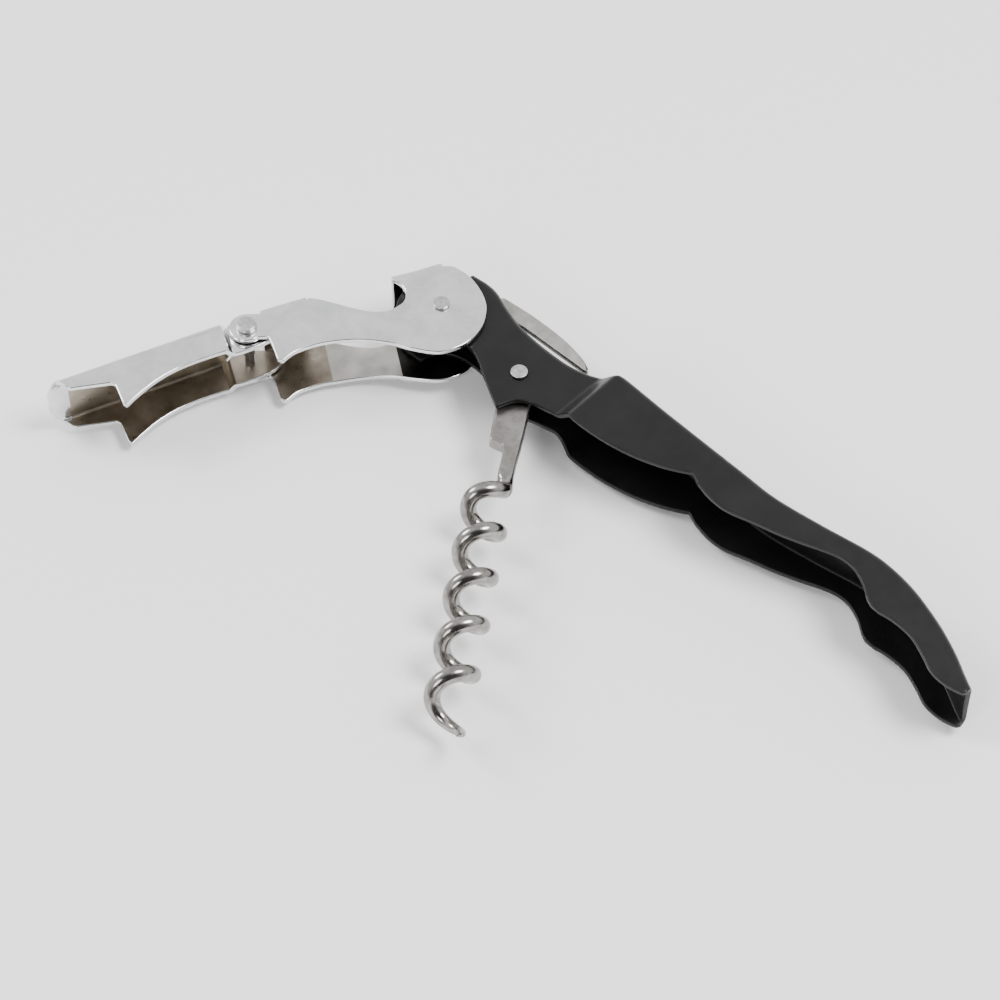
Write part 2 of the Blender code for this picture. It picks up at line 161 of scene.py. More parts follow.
def value_along(knots: Sequence[Point]) -> Callable[[float], float]:
    """Return a function that reads a smooth curve of (position, value) knots."""
    points = curve_through(knots, 16)

    def read(position: float) -> float:
        """Return the value at a position."""
        if position <= points[0][0]:
            return points[0][1]
        for (x0, y0), (x1, y1) in zip(points, points[1:]):
            if position <= x1:
                return y0 + (y1 - y0) * (position - x0) / max(x1 - x0, 1e-9)
        return points[-1][1]

    return read


def smooth_step(position: float, start: float, end: float) -> float:
    """Return 0 before start, 1 after end, and an S-curve between them."""
    t = min(max((position - start) / (end - start), 0.0), 1.0)
    return t * t * (3.0 - 2.0 * t)


def arc(centre: Point, radius: float, start: float, end: float, steps: int) -> list[Point]:
    """Return points on an arc; angles are in degrees."""
    return [(centre[0] + radius * math.cos(math.radians(start + (end - start) * i / steps)),
             centre[1] + radius * math.sin(math.radians(start + (end - start) * i / steps)))
            for i in range(steps + 1)]


def rounded(points: Sequence[Point], radius: float = 0.42) -> list[Point]:
    """Round the sharp corners of an open line; its two ends stay as they are.

    Args:
        points: The line.
        radius: The radius of each rounding.

    Returns:
        The line, with each sharp corner rounded.
    """
    result: list[Point] = [tuple(points[0])]
    for previous, here, following in zip(points, points[1:], points[2:]):
        before = Vector(previous) - Vector(here)
        after = Vector(following) - Vector(here)
        bend = math.pi - before.angle(after, math.pi)
        if bend < math.radians(SHARP_CORNER):
            result.append(tuple(here))
            continue
        reach = max(radius * math.tan(min(bend, WIDEST_BEND) / 2), LEAST_REACH)
        start = Vector(here) + before.normalized() * min(reach, before.length * EDGE_SHARE)
        end = Vector(here) + after.normalized() * min(reach, after.length * EDGE_SHARE)
        steps = max(2, round(bend / math.radians(CORNER_STEP)))
        for k in range(steps + 1):
            t = k / steps
            p = start * (1 - t) ** 2 + Vector(here) * 2 * t * (1 - t) + end * t * t
            result.append((p.x, p.y))
    result.append(tuple(points[-1]))
    return result


# ---- modelling ----------------------------------------------------------------------
def deselect_all() -> None:
    """Leave nothing selected, in object mode."""
    if bpy.context.mode != 'OBJECT':
        bpy.ops.object.mode_set(mode='OBJECT')
    bpy.ops.object.select_all(action='DESELECT')


def activate(obj: bpy.types.Object) -> None:
    """Select one object alone and make it active."""
    deselect_all()
    obj.select_set(True)
    bpy.context.view_layer.objects.active = obj


def in_edit_mode(obj: bpy.types.Object, *steps: Callable[[], object]) -> None:
    """Run edit-mode operators on all of one object's mesh."""
    activate(obj)
    bpy.ops.object.mode_set(mode='EDIT')
    bpy.ops.mesh.select_all(action='SELECT')
    for step in steps:
        step()
    bpy.ops.object.mode_set(mode='OBJECT')


def merge_doubles(closeness: float = FINE_MERGE) -> None:
    """Merge vertices that share a place, in edit mode."""
    bpy.ops.mesh.remove_doubles(threshold=closeness)


def face_outwards() -> None:
    """Point every face outwards, in edit mode."""
    bpy.ops.mesh.normals_make_consistent(inside=False)


def plate(name: str, outline: Sequence[Point]) -> bpy.types.Object:
    """Shape a filled circle into a flat plate with this outline."""
    deselect_all()
    bpy.ops.mesh.primitive_circle_add(vertices=len(outline), radius=1.0, fill_type='NGON')
    obj = bpy.context.object
    obj.name = obj.data.name = name
    for vertex, (x, y) in zip(obj.data.vertices, outline):
        vertex.co = (x, y, 0.0)
    return obj


def shaped_grid(name: str, columns: int, rows: int,
                place: Callable[[int, int], Point3]) -> bpy.types.Object:
    """Shape a grid by saying where each crossing goes.

    Args:
        name: The object's name.
        columns: The number of quads along the first way.
        rows: The number of quads along the second way.
        place: Gives the position of crossing (column, row).

    Returns:
        The new object.
    """
    deselect_all()
    bpy.ops.mesh.primitive_grid_add(x_subdivisions=columns, y_subdivisions=rows, size=1.0)
    obj = bpy.context.object
    obj.name = obj.data.name = name
    for vertex in obj.data.vertices:
        column = round((vertex.co.x + 0.5) * columns)
        row = round((vertex.co.y + 0.5) * rows)
        vertex.co = place(column, row)
    return obj


def drop_faces(obj: bpy.types.Object, unwanted: Callable[[Vector], bool]) -> None:
    """Delete the faces whose middle is unwanted."""
    activate(obj)
    bpy.ops.object.mode_set(mode='EDIT')
    bpy.ops.mesh.select_all(action='DESELECT')
    bpy.ops.object.mode_set(mode='OBJECT')
    for face in obj.data.polygons:
        face.select = unwanted(face.center)
    bpy.ops.object.mode_set(mode='EDIT')
    bpy.ops.mesh.select_mode(type='FACE')
    bpy.ops.mesh.delete(type='FACE')
    bpy.ops.mesh.select_mode(type='VERT')
    bpy.ops.object.mode_set(mode='OBJECT')


def join(name: str, parts: Sequence[bpy.types.Object]) -> bpy.types.Object:
    """Join objects into one."""
    activate(parts[0])
    for part in parts:
        part.select_set(True)
    bpy.ops.object.join()
    parts[0].name = parts[0].data.name = name
    return parts[0]


def apply_modifier(obj: bpy.types.Object, name: str, kind: str, **settings: object) -> None:
    """Add a modifier with these settings and apply it."""
    activate(obj)
    modifier = obj.modifiers.new(name, kind)
    for key, value in settings.items():
        setattr(modifier, key, value)
    bpy.ops.object.modifier_apply(modifier=modifier.name)


def rim_pulls(mesh: bpy.types.Mesh, reach: float) -> dict[int, Vector]:
    """Find how far each free edge of an open surface may be drawn in.

    Args:
        mesh: The open surface.
        reach: The wanted distance.

    Returns:
        For each vertex on a free edge, the outward vector in the surface, as long as the pull.
    """
    ample = reach / PULL_SHARE
    uses: dict[tuple[int, int], list[Vector]] = {}
    room: dict[int, float] = {}
    for face in mesh.polygons:
        ring = list(face.vertices)
        for a, b in zip(ring, ring[1:] + ring[:1]):
            along = mesh.vertices[b].co - mesh.vertices[a].co
            uses.setdefault((min(a, b), max(a, b)), []).append(along.cross(face.normal).normalized())
        if len(ring) <= 4:
            longest = max((mesh.vertices[a].co - mesh.vertices[b].co).length for a, b in face.edge_keys)
            for vertex in ring:
                room[vertex] = min(room.get(vertex, ample), face.area / longest)
    outward: dict[int, list[Vector]] = {}
    for (a, b), sides in uses.items():
        length = (mesh.vertices[a].co - mesh.vertices[b].co).length
        for vertex in (a, b):
            if len(sides) == 1:
                outward.setdefault(vertex, []).append(sides[0])
            else:
                room[vertex] = min(room.get(vertex, ample), length)
    pulls = {}
    for vertex, sides in outward.items():
        middle = sum(sides, Vector()).normalized()
        spread = 1.0 / max(middle.dot(sides[0]), SHARPEST_TURN)
        pulls[vertex] = middle * min(reach * spread, PULL_SHARE * room.get(vertex, ample))
    return pulls


def thicken(obj: bpy.types.Object, thickness: float, rim: float) -> None:
    """Give an open surface its thickness inwards, with rounded rims.

    Args:
        obj: The open surface; its second material goes on the inside.
        thickness: The sheet's thickness.
        rim: The radius of the rims' rounding.
    """
    pulls = rim_pulls(obj.data, rim)
    count = len(obj.data.vertices)
    for index, pull in pulls.items():
        obj.data.vertices[index].co -= pull
    apply_modifier(obj, "sheet", 'SOLIDIFY', thickness=thickness, offset=-1.0,
                   use_even_offset=False, use_quality_normals=False, material_offset=1)
    mesh = obj.data
    for name, kind in (("outward", 'FLOAT_VECTOR'), ("through", 'FLOAT_VECTOR'), ("depth", 'FLOAT')):
        mesh.attributes.new(name, kind, 'POINT')
    outward, through, depth = (mesh.attributes[name] for name in ("outward", "through", "depth"))
    for index, pull in pulls.items():
        across = mesh.vertices[index + count].co - mesh.vertices[index].co
        for vertex, level in ((index, 0.0), (index + count, 1.0)):
            outward.data[vertex].vector = pull
            through.data[vertex].vector = across
            depth.data[vertex].value = level
    activate(obj)
    bpy.ops.object.mode_set(mode='EDIT')
    bpy.ops.mesh.select_mode(type='EDGE')
    bpy.ops.mesh.select_all(action='DESELECT')
    bpy.ops.object.mode_set(mode='OBJECT')
    for edge in mesh.edges:
        edge.select = abs(edge.vertices[0] - edge.vertices[1]) == count
    bpy.ops.object.mode_set(mode='EDIT')
    bpy.ops.mesh.subdivide(number_cuts=RIM_CUTS)
    bpy.ops.mesh.select_mode(type='VERT')
    bpy.ops.object.mode_set(mode='OBJECT')
    share = rim / thickness
    rise = [(share * (1 - math.cos(math.radians(a))), math.sin(math.radians(a))) for a in (0, 30, 60, 90)]
    profile = rise + [(0.5, 1.0)] + [(1.0 - d, out) for d, out in reversed(rise)]
    mesh = obj.data
    for index, vertex in enumerate(mesh.vertices):
        level = mesh.attributes["depth"].data[index].value
        if 0.01 < level < 0.99:
            new_level, out = profile[round(level * (RIM_CUTS + 1))]
            vertex.co += Vector(mesh.attributes["through"].data[index].vector) * (new_level - level)
            vertex.co += Vector(mesh.attributes["outward"].data[index].vector) * out
    for name in ("outward", "through", "depth"):
        mesh.attributes.remove(mesh.attributes[name])


def settle(obj: bpy.types.Object, matrix: Matrix, body: Body, slot: Slot,
           material: bpy.types.Material, smooth_angle: float) -> None:
    """Put a finished piece at its place, dress it, and let it ride on its body.

    Args:
        obj: The piece, modelled in millimetres about its pivot.
        matrix: Its place.
        body: The body it moves with.
        slot: The record's slot that its finish stands for; not used.
        material: Its finish.
        smooth_angle: Edges sharper than this stay sharp, in degrees.
    """
    obj.data.transform(matrix)
    activate(obj)
    bpy.ops.object.shade_smooth_by_angle(angle=math.radians(smooth_angle))
    if not obj.data.materials:
        obj.data.materials.append(material)
    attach(obj, body.value)
    LOG.info("%s: %d faces on %s", obj.name, len(obj.data.polygons), body.value)


# ---- finishes -----------------------------------------------------------------------
PATTERN_LOW = 0.3           # the part of a noise pattern that is spread over a range
PATTERN_HIGH = 0.7


@dataclass(frozen=True)
class Pattern:
    """A noise pattern: cells per metre, octaves and how strong the fine ones are."""

    scale: float
    detail: float = 3.0
    roughness: float = 0.5
    stretch: Point3 = (1.0, 1.0, 1.0)
    turn: float = 0.0
    distortion: float = 0.0


@dataclass
class Shader:
    """A material's node tree while it is being wired."""

    name: str

    def __post_init__(self) -> None:
        """Make the material and find its shader."""
        self.material = bpy.data.materials.new(self.name)
        self.material.use_nodes = True
        self.tree = self.material.node_tree
        self.bsdf = self.tree.nodes["Principled BSDF"]
        self.coords = self.tree.nodes.new("ShaderNodeTexCoord")

    def surface(self, **values: object) -> None:
        """Set plain values on the shader's sockets, named with underscores."""
        for key, value in values.items():
            self.bsdf.inputs[key.replace("_", " ")].default_value = value

    def noise(self, pattern: "Pattern") -> bpy.types.NodeSocket:
        """Return the socket that carries a noise pattern."""
        mapping = self.tree.nodes.new("ShaderNodeMapping")
        mapping.inputs["Scale"].default_value = pattern.stretch
        mapping.inputs["Rotation"].default_value = (0.0, 0.0, math.radians(pattern.turn))
        self.tree.links.new(self.coords.outputs["Object"], mapping.inputs["Vector"])
        node = self.tree.nodes.new("ShaderNodeTexNoise")
        node.inputs["Scale"].default_value = pattern.scale
        node.inputs["Detail"].default_value = pattern.detail
        node.inputs["Roughness"].default_value = pattern.roughness
        node.inputs["Distortion"].default_value = pattern.distortion
        self.tree.links.new(mapping.outputs["Vector"], node.inputs["Vector"])
        return node.outputs["Fac"]

    def tint(self, value: bpy.types.NodeSocket, low: Point3, high: Point3) -> None:
        """Colour the surface from low to high by a pattern."""
        ramp = self.tree.nodes.new("ShaderNodeValToRGB")
        ramp.color_ramp.elements[0].position = PATTERN_LOW
        ramp.color_ramp.elements[1].position = PATTERN_HIGH
        ramp.color_ramp.elements[0].color = (*low, 1.0)
        ramp.color_ramp.elements[1].color = (*high, 1.0)
        self.tree.links.new(value, ramp.inputs["Fac"])
        self.tree.links.new(ramp.outputs["Color"], self.bsdf.inputs["Base Color"])

    def roughness(self, value: bpy.types.NodeSocket, low: float, high: float) -> None:
        """Vary the roughness from low to high by a pattern."""
        node = self.tree.nodes.new("ShaderNodeMapRange")
        node.inputs["From Min"].default_value = PATTERN_LOW
        node.inputs["From Max"].default_value = PATTERN_HIGH
        node.inputs["To Min"].default_value = low
        node.inputs["To Max"].default_value = high
        self.tree.links.new(value, node.inputs["Value"])
        self.tree.links.new(node.outputs["Result"], self.bsdf.inputs["Roughness"])

    def relief(self, *layers: tuple[bpy.types.NodeSocket, float, float]) -> None:
        """Stack bumps; each layer is a pattern, its depth in metres and its strength."""
        normal = None
        for pattern, depth, strength in layers:
            bump = self.tree.nodes.new("ShaderNodeBump")
            bump.inputs["Distance"].default_value = depth
            bump.inputs["Strength"].default_value = strength
            self.tree.links.new(pattern, bump.inputs["Height"])
            if normal is not None:
                self.tree.links.new(normal, bump.inputs["Normal"])
            normal = bump.outputs["Normal"]
        self.tree.links.new(normal, self.bsdf.inputs["Normal"])


@dataclass(frozen=True)
class GlossPaint:
    """Black baked paint: glossy, with a faint flow texture."""

    dark: Point3 = (0.0045, 0.0044, 0.0047)
    light: Point3 = (0.0085, 0.0082, 0.0088)

    def make(self) -> bpy.types.Material:
        """Return the finish."""
        shader = Shader("black_baked_paint")
        shader.surface(Metallic=0.0, IOR=1.42, Coat_Weight=0.0, Specular_IOR_Level=0.36)
        shader.tint(shader.noise(Pattern(160.0)), self.dark, self.light)
        shader.roughness(shader.noise(Pattern(420.0, 4.0, 0.6)), 0.26, 0.40)
        shader.relief((shader.noise(Pattern(900.0, 2.0)), 0.00004, 0.18),
                      (shader.noise(Pattern(4200.0, 2.0)), 0.00001, 0.2))
        return shader.material


@dataclass(frozen=True)
class Metal:
    """A metal finish: its tint, where it is dull, and its fine relief.

    Each layer of relief is a pattern, its depth in metres and its strength.
    """

    name: str
    dark: Point3
    light: Point3
    stain: Pattern
    haze: Pattern
    dullness: Point
    layers: tuple[tuple[Pattern, float, float], ...]

    def make(self) -> bpy.types.Material:
        """Return the finish."""
        shader = Shader(self.name)
        shader.surface(Metallic=1.0)
        shader.tint(shader.noise(self.stain), self.dark, self.light)
        shader.roughness(shader.noise(self.haze), *self.dullness)
        shader.relief(*((shader.noise(pattern), depth, strength)
                        for pattern, depth, strength in self.layers))
        return shader.material


def bright_plating(grain_turn: float) -> Metal:
    """Bright plating on pressed steel: clear reflections, faint rubbing marks and haze."""
    grain = Pattern(900.0, 4.0, 0.6, (1.0, 14.0, 1.0), grain_turn)
    return Metal("bright_plating", (0.66, 0.665, 0.675), (0.86, 0.862, 0.868),
                 Pattern(210.0, 5.0, 0.62, distortion=0.6), Pattern(330.0, 6.0, 0.65), (0.10, 0.24),
                 ((Pattern(260.0, 2.0), 0.00006, 0.16), (grain, 0.000006, 0.30)))


def painted_shade_inner_plating(dark: Point3, light: Point3) -> Metal:
    """Duller plating for the inside of a channel, in the given tints; these darker tints are painted shade and
    painted reflection.
    """
    return Metal("dull_inner_plating_painted_shade", dark, light, Pattern(240.0, 5.0, 0.5), Pattern(500.0, 5.0, 0.6),
                 (0.26, 0.42), ((Pattern(900.0, 3.0), 0.00003, 0.3),))


# Painted shade: a dark brownish tint for the inside under the upper lever's step and all inside the lower lever,
# standing in for the shade and dark reflections there.
PAINTED_SHADE_PLATING = painted_shade_inner_plating((0.24, 0.21, 0.17), (0.44, 0.39, 0.325))
# Painted reflection: near-black plating for the upper lever's inside beside the neck, standing in for the black
# neck mirrored there.
PAINTED_NECK_REFLECTION_PLATING = painted_shade_inner_plating((0.014, 0.013, 0.013), (0.036, 0.034, 0.033))
# Rougher plating for the rest of the upper lever's inside; its tint, darker than the bright plating, is painted
# shade.
DULL_PLATING_PAINTED_SHADE = painted_shade_inner_plating((0.40, 0.385, 0.36), (0.62, 0.60, 0.57))

WIRE_DARK: Point3 = (0.19, 0.178, 0.165)
WIRE_LIGHT: Point3 = (0.40, 0.385, 0.37)
SHANK_SHADE = 0.9
POLISHED_WIRE = Metal("polished_worm_steel", WIRE_DARK, WIRE_LIGHT,
                      Pattern(600.0, 5.0, 0.65), Pattern(900.0, 5.0, 0.6), (0.12, 0.26),
                      ((Pattern(1500.0, 5.0, 0.7), 0.00002, 0.4),))
SHANK_GRAIN = Pattern(700.0, 5.0, 0.7, (14.0, 1.0, 1.0), -LAYOUT.worm_angle)
SATIN_SHANK = Metal("satin_shank_steel", WIRE_DARK, tuple(SHANK_SHADE * level for level in WIRE_LIGHT),
                    Pattern(420.0, 5.0, 0.7), SHANK_GRAIN, (0.24, 0.44), ((SHANK_GRAIN, 0.00001, 0.5),))
BLADE_GRAIN = Pattern(500.0, 5.0, 0.7, (1.0, 22.0, 1.0))
SATIN_BLADE = Metal("satin_blade_steel", (0.34, 0.325, 0.305), (0.50, 0.485, 0.46),
                    Pattern(500.0, 4.0), BLADE_GRAIN, (0.28, 0.46), ((BLADE_GRAIN, 0.00001, 0.5),))
PEENED_STEEL = Metal("peened_rivet_steel", (0.40, 0.40, 0.405), (0.64, 0.64, 0.64),
                     Pattern(1500.0, 4.0), Pattern(2200.0, 4.0), (0.24, 0.42),
                     ((Pattern(900.0, 3.0), 0.00008, 0.4),))


@dataclass(frozen=True)
class PaleFloor:
    """Plain pale table top."""

    colour: Point3 = (0.97, 0.97, 0.97)

    def make(self) -> bpy.types.Material:
        """Return the finish."""
        shader = Shader("pale_floor")
        shader.surface(Base_Color=(*self.colour, 1.0), Roughness=0.9)
        return shader.material


# ---- pressed channels ------------------------------------------------------------------
@dataclass
class PressedChannel:
    """A channel folded from sheet: two cheeks and a back that joins them where it is kept.

    The fold runs along X. open_side is -1 where the channel opens towards -Y.
    """

    name: str
    open_side: int
    inside: bpy.types.Material
    sheet: float = 0.85
    bend_radius: float = 1.3
    rim: float = 0.2
    rim_angle: float = 38.0

    def half_width(self, x: float) -> float:
        """Return the outside half width at a place along the channel."""
        raise NotImplementedError

    def back(self, x: float) -> float:
        """Return where the outside of the back is."""
        raise NotImplementedError

    def fold_edge(self, x: float) -> Point:
        """Return the point where the cheek ends and the bend starts."""
        return (x, self.back(x) + self.open_side * self.bend_radius)

    def cheek_outline(self, side: int) -> list[Point]:
        """Return the side view of one flat cheek, up to the bends."""
        raise NotImplementedError

    def back_spans(self) -> list[list[float]]:
        """Return the stations of each length that has bends."""
        raise NotImplementedError

    def back_kept(self, middle: Vector) -> bool:
        """Return whether a face of the bends and back is kept."""
        return True

    def cheek_stations(self) -> list[float]:
        """Return where the cheeks are divided so that they can curve."""
        raise NotImplementedError

    def section(self, x: float) -> list[Point]:
        """Return the bends and back as (z, depth) points from one cheek to the other."""
        flat = self.half_width(x) - self.bend_radius
        near = arc((flat, self.bend_radius), self.bend_radius, 0, -90, BEND_STEPS)
        slot = min(KNIFE_SLOT, flat * 0.7)
        middle = [((flat + slot) / 2, 0.0), (slot, 0.0), (slot / 3, 0.0),
                  (-slot / 3, 0.0), (-slot, 0.0), (-(flat + slot) / 2, 0.0)]
        far = [(-z, depth) for z, depth in reversed(near)]
        return near + middle + far

    def back_point(self, x: float, z: float, depth: float) -> Point3:
        """Return a point of the bends and back."""
        return (x, self.back(x) + self.open_side * depth, z)

    def cheek(self, side: int) -> bpy.types.Object:
        """Return one cheek, curved to the channel's width.

        Args:
            side: 1 for the upper cheek, -1 for the lower one.

        Returns:
            The cheek as an open surface.
        """
        obj = plate(f"{self.name}_cheek", self.cheek_outline(side))
        stations = self.cheek_stations()

        def divide() -> None:
            """Cut the cheek across at each station."""
            for x in stations:
                bpy.ops.mesh.select_all(action='SELECT')
                bpy.ops.mesh.bisect(plane_co=(x, 0.0, 0.0), plane_no=(1.0, 0.0, 0.0), threshold=0.0005)

        in_edit_mode(obj, divide)
        for vertex in obj.data.vertices:
            vertex.co.z = side * self.half_width(vertex.co.x)
        return obj

    def backs(self) -> list[bpy.types.Object]:
        """Return the bends and back as open surfaces."""
        parts = []
        for span in self.back_spans():
            sections = [self.section(x) for x in span]

            def place(column: int, row: int) -> Point3:
                """Return the place of one crossing."""
                z, depth = sections[column][row]
                return self.back_point(span[column], z, depth)

            part = shaped_grid(f"{self.name}_back", len(span) - 1, len(sections[0]) - 1, place)
            drop_faces(part, lambda middle: not self.back_kept(middle))
            parts.append(part)
        return parts

    def vary(self, obj: bpy.types.Object) -> None:
        """Change the finish where the piece isn't the same all over."""

    def build(self, matrix: Matrix, body: Body, slot: Slot, finish: bpy.types.Material,
              node: str) -> bpy.types.Object:
        """Build the channel, with its thickness and rounded rims.

        Args:
            matrix: Its place.
            body: The body it moves with.
            slot: The record's slot.
            finish: Its finish.
            node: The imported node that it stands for.

        Returns:
            The finished channel.
        """
        obj = join(self.name, [self.cheek(1), self.cheek(-1)] + self.backs())
        in_edit_mode(obj, lambda: merge_doubles(COARSE_MERGE), face_outwards)
        highest = max(obj.data.polygons, key=lambda face: face.center.z * 1000 + face.area)
        if highest.normal.z < 0:
            in_edit_mode(obj, bpy.ops.mesh.flip_normals)
        obj.data.materials.append(finish)
        obj.data.materials.append(self.inside)
        thicken(obj, self.sheet, self.rim)
        self.vary(obj)
        settle(obj, matrix, body, slot, finish, self.rim_angle)
        apply_modifier(obj, "flat_cheeks", 'WEIGHTED_NORMAL', keep_sharp=True)
        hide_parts(node)
        return obj


@dataclass
class Handle(PressedChannel):
    """The painted handle: narrow neck, shoulder, and a body with two finger grooves."""

    neck_half_width: float = 2.6
    body_half_width: float = 5.3
    tail_half_width: float = 4.6
    neck_end: float = 27.3
    body_start: float = 30.9
    taper_start: float = 50.0
    end: float = 106.2
    back_start: float = -1.6
    slot_half_width: float = KNIFE_SLOT
    slot_end: float = 25.6

    def __post_init__(self) -> None:
        """Read the back line."""
        self.back_line = value_along([
            (-9.0, 9.2), (-2.0, 9.25), (1.2, 9.45), (3.7, 9.1), (7.0, 7.8), (10.2, 6.75), (12.9, 6.2),
            (17.4, 5.8), (21.6, 5.8), (25.2, 6.4), (27.9, 7.45), (29.7, 7.75), (31.2, 8.1),
            (33.5, 8.0), (40.1, 7.5), (48.7, 7.0), (57.0, 6.6), (63.6, 6.35), (71.7, 7.2),
            (79.8, 8.35), (84.5, 8.3), (89.6, 7.35), (95.7, 5.2), (100.5, 2.85), (103.9, 0.75),
            (106.2, -0.6)])

    def half_width(self, x: float) -> float:
        """Return the outside half width: neck, shoulder, and a slowly tapering body."""
        spread = smooth_step(x, self.neck_end, self.body_start)
        taper = max(x - self.taper_start, 0.0) / (self.end - self.taper_start)
        return (self.neck_half_width + (self.body_half_width - self.neck_half_width) * spread
                + (self.tail_half_width - self.body_half_width) * taper)

    def back(self, x: float) -> float:
        """Return where the outside of the back is."""
        return self.back_line(x)

    def back_spans(self) -> list[list[float]]:
        """Return the back's stations, closer together where the cheeks spread."""
        neck = [self.back_start + 0.85 * i for i in range(32)]
        edge = [self.slot_end]
        shoulder = [26.2, 26.8] + [self.neck_end + 0.18 * i for i in range(21)]
        body = [31.6 + 0.9 * i for i in range(83)]
        return [[x for x in neck if x < self.slot_end - 0.3] + edge + shoulder + body + [self.end]]

    def cheek_stations(self) -> list[float]:
        """Return the stations in the shoulder and the tapering body."""
        return [x for x in self.back_spans()[0][:-1] if x > self.neck_end - 0.1]

    def back_kept(self, middle: Vector) -> bool:
        """Leave the slot that the knife swings through."""
        return not (middle.x < self.slot_end and abs(middle.z) < self.slot_half_width)

    def cheek_outline(self, side: int) -> list[Point]:
        """Return the cheek: fold line, tail, grooves, ear and round head."""
        fold = [self.fold_edge(x) for x in self.back_spans()[0]]
        tail = curve_through([(105.9, -2.4), (104.9, -2.75), (102.6, -3.0), (100.0, -2.6), (97.2, -1.15),
                              (94.0, 0.2), (90.6, 0.55), (88.0, 0.3)])
        groove = curve_through([(86.5, 0.45), (85.2, 1.1), (83.2, 2.6), (80.4, 3.9), (78.0, 4.1),
                                (75.5, 3.5), (72.1, 2.3), (68.3, 1.1), (64.1, 0.1), (60.1, -0.95), (56.8, -0.95),
                                (53.6, -0.2)])
        arch = curve_through([(51.6, 0.75), (49.6, -0.35), (47.2, -1.45), (43.5, -2.65), (39.5, -3.45),
                              (35.5, -3.8), (31.5, -3.75), (28.3, -3.2), (25.7, -3.6), (23.0, -4.2),
                              (21.3, -5.3), (20.5, -6.6)])
        ear = curve_through([(19.8, -8.5), (15.5, -6.1), (11.3, -3.6), (8.4, -2.6), (5.6, -2.7),
                             (3.1, -4.4), (2.4, -6.6)], 4)
        if side < 0:
            ear = curve_through([(19.7, -7.0), (16.3, -4.95), (12.2, -2.7), (8.6, -2.25), (5.6, -2.7),
                                 (3.1, -4.4), (2.4, -6.6)], 4)
        head = [(2.3, -7.15)] + arc((0.0, 0.0), 7.2, 266, 122, 36) + [(-2.5, 7.3)]
        return fold + rounded([fold[-1]] + tail + groove + arch + ear + head + [fold[0]])[1:-1]


@dataclass
class UpperLever(PressedChannel):
    """The first lever: cap lifter and pivot at one end, step tooth and hinge lugs at the other."""

    pivot_half_width: float = 3.85
    step_half_width: float = 5.3
    lip_start: float = 4.9
    lip_end: float = 6.75
    corner: float = -1.7
    back_start: float = 20.7
    back_end: float = 28.3
    painted_shade_inside: bpy.types.Material | None = None
    painted_neck_reflection: bpy.types.Material | None = None
    painted_neck_reflection_end: float = 8.0

    def vary(self, obj: bpy.types.Object) -> None:
        """Paint shade on the inside under the step, and paint the black neck's reflection on the inside beside
        the neck.
        """
        obj.data.materials.append(self.painted_shade_inside)
        obj.data.materials.append(self.painted_neck_reflection)
        for face in obj.data.polygons:
            if face.material_index != 1:
                continue
            # Painted shade on the inside under the step.
            if self.back_start - 1.6 < face.center.x < self.back_end + 0.3:
                face.material_index = 2
            # Painted reflection of the black neck on the inside near the pivot.
            elif face.center.x < self.painted_neck_reflection_end:
                face.material_index = 3

    def half_width(self, x: float) -> float:
        """Return the outside half width: narrow on the neck, wide at the step."""
        spread = smooth_step(x, 1.5, 18.5)
        return self.pivot_half_width + (self.step_half_width - self.pivot_half_width) * spread

    def back(self, x: float) -> float:
        """Return where the outside of the back is."""
        return -9.0 + 0.1885 * x

    def back_spans(self) -> list[list[float]]:
        """Return the bends by the cap lifter, and the back by the hinge."""
        lip = [self.corner + 0.6 * i for i in range(11)] + [self.lip_start, 5.5, 6.1, self.lip_end]
        step = [self.back_start + (self.back_end - self.back_start) * i / 10 for i in range(11)]
        return [lip, step]

    def back_kept(self, middle: Vector) -> bool:
        """Keep the back only at the lip and at the step."""
        if middle.x > self.lip_start:
            return True
        return abs(middle.z) > self.half_width(middle.x) - KEPT_BEND * self.bend_radius

    def cheek_stations(self) -> list[float]:
        """Return the stations where the cheeks spread."""
        return [x for x in self.back_spans()[0][:-1] if x > 1.2] + [7.6 + 0.9 * i for i in range(13)]

    def cheek_outline(self, side: int) -> list[Point]:
        """Return the cheek: pivot end, top edge, tooth, lug, fold, cap lifter, hook."""
        lip, step = self.back_spans()
        pivot_end = curve_through([(-3.5, -7.55), (-5.3, -5.3), (-6.5, -2.3), (-6.95, 0.9), (-6.4, 3.6),
                                   (-5.1, 6.1), (-2.5, 8.5), (0.6, 9.5), (3.0, 9.35), (6.4, 8.1),
                                   (9.3, 6.75), (13.4, 5.75), (17.8, 5.45), (20.9, 5.6), (24.1, 6.4),
                                   (25.9, 7.6)], 5)
        tooth = [(26.3, 7.95), (27.1, 7.35), (27.5, 4.1), (27.85, 2.5)]
        lug = arc((30.8, 0.0), 2.78, 121, -108, 24)
        fold = [self.fold_edge(x) for x in reversed(step)]
        lifter = curve_through([(20.4, -4.25), (18.6, -3.5), (16.0, -2.1), (13.4, -0.8), (11.0, 0.05),
                                (8.7, 0.15)], 5)
        notch = curve_through([(7.4, -0.35), (5.7, -1.6), (5.05, -3.3), (5.35, -5.0), (6.2, -6.1)], 5)
        hook = [self.fold_edge(x) for x in reversed(lip)]
        free_start = rounded([self.fold_edge(self.corner), *pivot_end, *tooth, *lug, fold[0]])
        free_end = rounded([fold[-1], *lifter, *notch, hook[0]])
        return free_start[1:-1] + fold + free_end[1:-1] + hook


